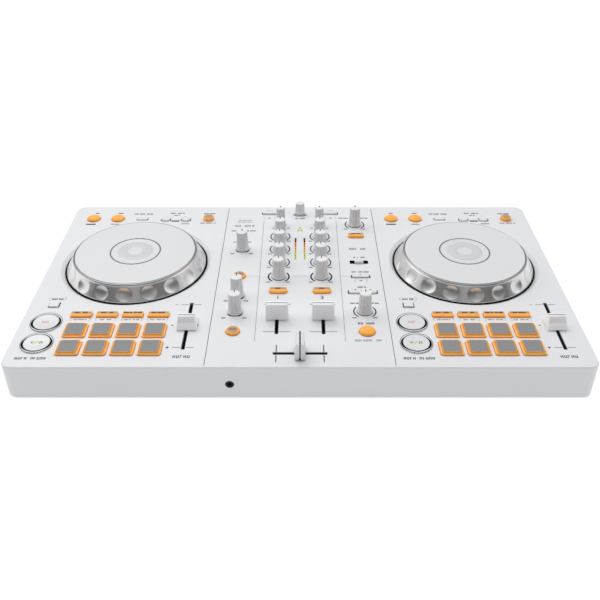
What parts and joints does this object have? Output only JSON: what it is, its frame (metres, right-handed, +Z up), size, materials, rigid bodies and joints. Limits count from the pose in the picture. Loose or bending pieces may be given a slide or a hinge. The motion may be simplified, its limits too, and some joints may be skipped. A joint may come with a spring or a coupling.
{
  "type": "dj controller",
  "caption": "Flat two-deck DJ controller: jog wheels with dimpled silver rims either side of a mixer of knobs, faders, lit keys and performance pads.",
  "frame": {"origin": "on the table, under the middle of the case", "axes": "+Z up, +X to the player's right along the length, +Y to the back"},
  "size_m": [0.482, 0.2724, 0.0592],
  "materials": {
    "case_white": "fine satin texture",
    "cover_white": "fine matt texture",
    "foot_rubber": "matt",
    "screw_steel": "zinc plated",
    "board_green": "solder-resist lacquer",
    "pot_body": "moulded black",
    "socket_black": "moulded black",
    "lightpipe_clear": "translucent",
    "shaft_steel": "ground",
    "jog_black": "moulded black",
    "jog_silver": "satin metallised",
    "platter_white": "satin",
    "pad_rubber": "translucent silicone with amber light at its edges",
    "key_amber": "translucent, lit amber",
    "key_white": "satin",
    "knob_white": "satin",
    "fader_white": "satin"
  },
  "bodies": {
    "case": {"top_case": "case_white", "bottom_cover": "cover_white", "rubber_feet": "foot_rubber", "case_screws": "screw_steel", "circuit_boards": "board_green", "rotary_pots": "pot_body", "slide_pots": "pot_body", "key_switches": "pot_body", "rear_sockets": "socket_black", "headphone_socket": "socket_black", "level_meter": "lightpipe_clear", "jog_shafts": "shaft_steel"},
    "jog_wheel_left": {"jog_base_left": "jog_black", "jog_ring_left": "jog_silver", "jog_platter_left": "platter_white"},
    "jog_wheel_right": {"jog_base_right": "jog_black", "jog_ring_right": "jog_silver", "jog_platter_right": "platter_white"},
    "pads_left": {"pads_left": "pad_rubber"},
    "mode_keys_left": {"mode_keys_left": "key_amber"},
    "loop_keys_left": {"loop_keys_left": "key_amber"},
    "sync_key_left": {"sync_key_left": "key_amber"},
    "shift_key_left": {"shift_key_left": "key_white"},
    "cue_key_left": {"cue_key_left": "key_white"},
    "play_key_left": {"play_key_left": "key_white"},
    "pads_right": {"pads_right": "pad_rubber"},
    "mode_keys_right": {"mode_keys_right": "key_amber"},
    "loop_keys_right": {"loop_keys_right": "key_amber"},
    "sync_key_right": {"sync_key_right": "key_amber"},
    "shift_key_right": {"shift_key_right": "key_white"},
    "cue_key_right": {"cue_key_right": "key_white"},
    "play_key_right": {"play_key_right": "key_white"},
    "load_keys": {"load_keys": "key_white"},
    "channel_cue_keys": {"channel_cue_keys": "key_amber"},
    "mix_assist_keys": {"mix_assist_keys": "key_amber"},
    "master_cue_key": {"master_cue_key": "key_amber"},
    "effect_keys": {"effect_keys": "key_white"},
    "effect_on_key": {"effect_on_key": "key_amber"},
    "channel_1_trim_knob": {"channel_1_trim_knob": "knob_white"},
    "channel_1_high_knob": {"channel_1_high_knob": "knob_white"},
    "channel_1_mid_knob": {"channel_1_mid_knob": "knob_white"},
    "channel_1_low_knob": {"channel_1_low_knob": "knob_white"},
    "channel_1_filter_knob": {"channel_1_filter_knob": "knob_white"},
    "channel_2_trim_knob": {"channel_2_trim_knob": "knob_white"},
    "channel_2_high_knob": {"channel_2_high_knob": "knob_white"},
    "channel_2_mid_knob": {"channel_2_mid_knob": "knob_white"},
    "channel_2_low_knob": {"channel_2_low_knob": "knob_white"},
    "channel_2_filter_knob": {"channel_2_filter_knob": "knob_white"},
    "microphone_level_knob": {"microphone_level_knob": "knob_white"},
    "headphone_mix_knob": {"headphone_mix_knob": "knob_white"},
    "headphone_level_knob": {"headphone_level_knob": "knob_white"},
    "master_level_knob": {"master_level_knob": "knob_white"},
    "effect_depth_knob": {"effect_depth_knob": "knob_white"},
    "browse_knob": {"browse_knob": "knob_white"},
    "tempo_fader_left": {"tempo_fader_left": "fader_white"},
    "tempo_fader_right": {"tempo_fader_right": "fader_white"},
    "channel_1_fader": {"channel_1_fader": "fader_white"},
    "channel_2_fader": {"channel_2_fader": "fader_white"},
    "crossfader": {"crossfader": "fader_white"},
    "slide_switch": {"slide_switch": "key_white"}
  },
  "joints": [
    {"name": "jog_wheel_left_spin", "type": "hinge", "parent": "case", "child": "jog_wheel_left", "pos_m": [-0.1575, 0.0215, 0.0392], "axis": [0, 0, 1], "continuous": true},
    {"name": "jog_wheel_right_spin", "type": "hinge", "parent": "case", "child": "jog_wheel_right", "pos_m": [0.1575, 0.0215, 0.0392], "axis": [0, 0, 1], "continuous": true},
    {"name": "pads_left_press", "type": "slide", "parent": "case", "child": "pads_left", "axis": [0, 0, 1], "range_m": [-0.001, 0], "stiffness_N_per_m": 600, "springref_m": 0.001},
    {"name": "mode_keys_left_press", "type": "slide", "parent": "case", "child": "mode_keys_left", "axis": [0, 0, 1], "range_m": [-0.0005, 0], "stiffness_N_per_m": 400, "springref_m": 0.001},
    {"name": "loop_keys_left_press", "type": "slide", "parent": "case", "child": "loop_keys_left", "axis": [0, 0, 1], "range_m": [-0.0005, 0], "stiffness_N_per_m": 400, "springref_m": 0.001},
    {"name": "sync_key_left_press", "type": "slide", "parent": "case", "child": "sync_key_left", "axis": [0, 0, 1], "range_m": [-0.0005, 0], "stiffness_N_per_m": 400, "springref_m": 0.001},
    {"name": "shift_key_left_press", "type": "slide", "parent": "case", "child": "shift_key_left", "axis": [0, 0, 1], "range_m": [-0.0005, 0], "stiffness_N_per_m": 400, "springref_m": 0.001},
    {"name": "cue_key_left_press", "type": "slide", "parent": "case", "child": "cue_key_left", "axis": [0, 0, 1], "range_m": [-0.0007, 0], "stiffness_N_per_m": 400, "springref_m": 0.001},
    {"name": "play_key_left_press", "type": "slide", "parent": "case", "child": "play_key_left", "axis": [0, 0, 1], "range_m": [-0.0007, 0], "stiffness_N_per_m": 400, "springref_m": 0.001},
    {"name": "pads_right_press", "type": "slide", "parent": "case", "child": "pads_right", "axis": [0, 0, 1], "range_m": [-0.001, 0], "stiffness_N_per_m": 600, "springref_m": 0.001},
    {"name": "mode_keys_right_press", "type": "slide", "parent": "case", "child": "mode_keys_right", "axis": [0, 0, 1], "range_m": [-0.0005, 0], "stiffness_N_per_m": 400, "springref_m": 0.001},
    {"name": "loop_keys_right_press", "type": "slide", "parent": "case", "child": "loop_keys_right", "axis": [0, 0, 1], "range_m": [-0.0005, 0], "stiffness_N_per_m": 400, "springref_m": 0.001},
    {"name": "sync_key_right_press", "type": "slide", "parent": "case", "child": "sync_key_right", "axis": [0, 0, 1], "range_m": [-0.0005, 0], "stiffness_N_per_m": 400, "springref_m": 0.001},
    {"name": "shift_key_right_press", "type": "slide", "parent": "case", "child": "shift_key_right", "axis": [0, 0, 1], "range_m": [-0.0005, 0], "stiffness_N_per_m": 400, "springref_m": 0.001},
    {"name": "cue_key_right_press", "type": "slide", "parent": "case", "child": "cue_key_right", "axis": [0, 0, 1], "range_m": [-0.0007, 0], "stiffness_N_per_m": 400, "springref_m": 0.001},
    {"name": "play_key_right_press", "type": "slide", "parent": "case", "child": "play_key_right", "axis": [0, 0, 1], "range_m": [-0.0007, 0], "stiffness_N_per_m": 400, "springref_m": 0.001},
    {"name": "load_keys_press", "type": "slide", "parent": "case", "child": "load_keys", "axis": [0, 0, 1], "range_m": [-0.0005, 0], "stiffness_N_per_m": 400, "springref_m": 0.001},
    {"name": "channel_cue_keys_press", "type": "slide", "parent": "case", "child": "channel_cue_keys", "axis": [0, 0, 1], "range_m": [-0.0005, 0], "stiffness_N_per_m": 400, "springref_m": 0.001},
    {"name": "mix_assist_keys_press", "type": "slide", "parent": "case", "child": "mix_assist_keys", "axis": [0, 0, 1], "range_m": [-0.0005, 0], "stiffness_N_per_m": 400, "springref_m": 0.001},
    {"name": "master_cue_key_press", "type": "slide", "parent": "case", "child": "master_cue_key", "axis": [0, 0, 1], "range_m": [-0.0005, 0], "stiffness_N_per_m": 400, "springref_m": 0.001},
    {"name": "effect_keys_press", "type": "slide", "parent": "case", "child": "effect_keys", "axis": [0, 0, 1], "range_m": [-0.0005, 0], "stiffness_N_per_m": 400, "springref_m": 0.001},
    {"name": "effect_on_key_press", "type": "slide", "parent": "case", "child": "effect_on_key", "axis": [0, 0, 1], "range_m": [-0.0005, 0], "stiffness_N_per_m": 400, "springref_m": 0.001},
    {"name": "channel_1_trim_knob_turn", "type": "hinge", "parent": "case", "child": "channel_1_trim_knob", "pos_m": [-0.02, 0.0965, 0.0392], "axis": [0, 0, 1], "range_deg": [-150, 150]},
    {"name": "channel_1_high_knob_turn", "type": "hinge", "parent": "case", "child": "channel_1_high_knob", "pos_m": [-0.02, 0.0715, 0.0392], "axis": [0, 0, 1], "range_deg": [-150, 150]},
    {"name": "channel_1_mid_knob_turn", "type": "hinge", "parent": "case", "child": "channel_1_mid_knob", "pos_m": [-0.02, 0.0468, 0.0392], "axis": [0, 0, 1], "range_deg": [-150, 150]},
    {"name": "channel_1_low_knob_turn", "type": "hinge", "parent": "case", "child": "channel_1_low_knob", "pos_m": [-0.02, 0.022, 0.0392], "axis": [0, 0, 1], "range_deg": [-150, 150]},
    {"name": "channel_1_filter_knob_turn", "type": "hinge", "parent": "case", "child": "channel_1_filter_knob", "pos_m": [-0.02, -0.0035, 0.0392], "axis": [0, 0, 1], "range_deg": [-150, 150]},
    {"name": "channel_2_trim_knob_turn", "type": "hinge", "parent": "case", "child": "channel_2_trim_knob", "pos_m": [0.02, 0.0965, 0.0392], "axis": [0, 0, 1], "range_deg": [-150, 150]},
    {"name": "channel_2_high_knob_turn", "type": "hinge", "parent": "case", "child": "channel_2_high_knob", "pos_m": [0.02, 0.0715, 0.0392], "axis": [0, 0, 1], "range_deg": [-150, 150]},
    {"name": "channel_2_mid_knob_turn", "type": "hinge", "parent": "case", "child": "channel_2_mid_knob", "pos_m": [0.02, 0.0468, 0.0392], "axis": [0, 0, 1], "range_deg": [-150, 150]},
    {"name": "channel_2_low_knob_turn", "type": "hinge", "parent": "case", "child": "channel_2_low_knob", "pos_m": [0.02, 0.022, 0.0392], "axis": [0, 0, 1], "range_deg": [-150, 150]},
    {"name": "channel_2_filter_knob_turn", "type": "hinge", "parent": "case", "child": "channel_2_filter_knob", "pos_m": [0.02, -0.0035, 0.0392], "axis": [0, 0, 1], "range_deg": [-150, 150]},
    {"name": "microphone_level_knob_turn", "type": "hinge", "parent": "case", "child": "microphone_level_knob", "pos_m": [-0.057, 0.0472, 0.0392], "axis": [0, 0, 1], "range_deg": [-150, 150]},
    {"name": "headphone_mix_knob_turn", "type": "hinge", "parent": "case", "child": "headphone_mix_knob", "pos_m": [-0.057, -0.034, 0.0392], "axis": [0, 0, 1], "range_deg": [-150, 150]},
    {"name": "headphone_level_knob_turn", "type": "hinge", "parent": "case", "child": "headphone_level_knob", "pos_m": [-0.057, -0.06, 0.0392], "axis": [0, 0, 1], "range_deg": [-150, 150]},
    {"name": "master_level_knob_turn", "type": "hinge", "parent": "case", "child": "master_level_knob", "pos_m": [0.057, 0.0962, 0.0392], "axis": [0, 0, 1], "range_deg": [-150, 150]},
    {"name": "effect_depth_knob_turn", "type": "hinge", "parent": "case", "child": "effect_depth_knob", "pos_m": [0.057, -0.0596, 0.0392], "axis": [0, 0, 1], "range_deg": [-150, 150]},
    {"name": "browse_knob_turn", "type": "hinge", "parent": "case", "child": "browse_knob", "pos_m": [0, 0.121, 0.0392], "axis": [0, 0, 1], "continuous": true},
    {"name": "tempo_fader_left_slide", "type": "slide", "parent": "case", "child": "tempo_fader_left", "axis": [0, 1, 0], "range_m": [-0.03, 0.03]},
    {"name": "tempo_fader_right_slide", "type": "slide", "parent": "case", "child": "tempo_fader_right", "axis": [0, 1, 0], "range_m": [-0.03, 0.03]},
    {"name": "channel_1_fader_slide", "type": "slide", "parent": "case", "child": "channel_1_fader", "axis": [0, 1, 0], "range_m": [-0.02, 0.02]},
    {"name": "channel_2_fader_slide", "type": "slide", "parent": "case", "child": "channel_2_fader", "axis": [0, 1, 0], "range_m": [-0.02, 0.02]},
    {"name": "crossfader_slide", "type": "slide", "parent": "case", "child": "crossfader", "axis": [1, 0, 0], "range_m": [-0.019, 0.019]},
    {"name": "slide_switch_slide", "type": "slide", "parent": "case", "child": "slide_switch", "axis": [1, 0, 0], "range_m": [-0.004, 0.004]}
  ]
}
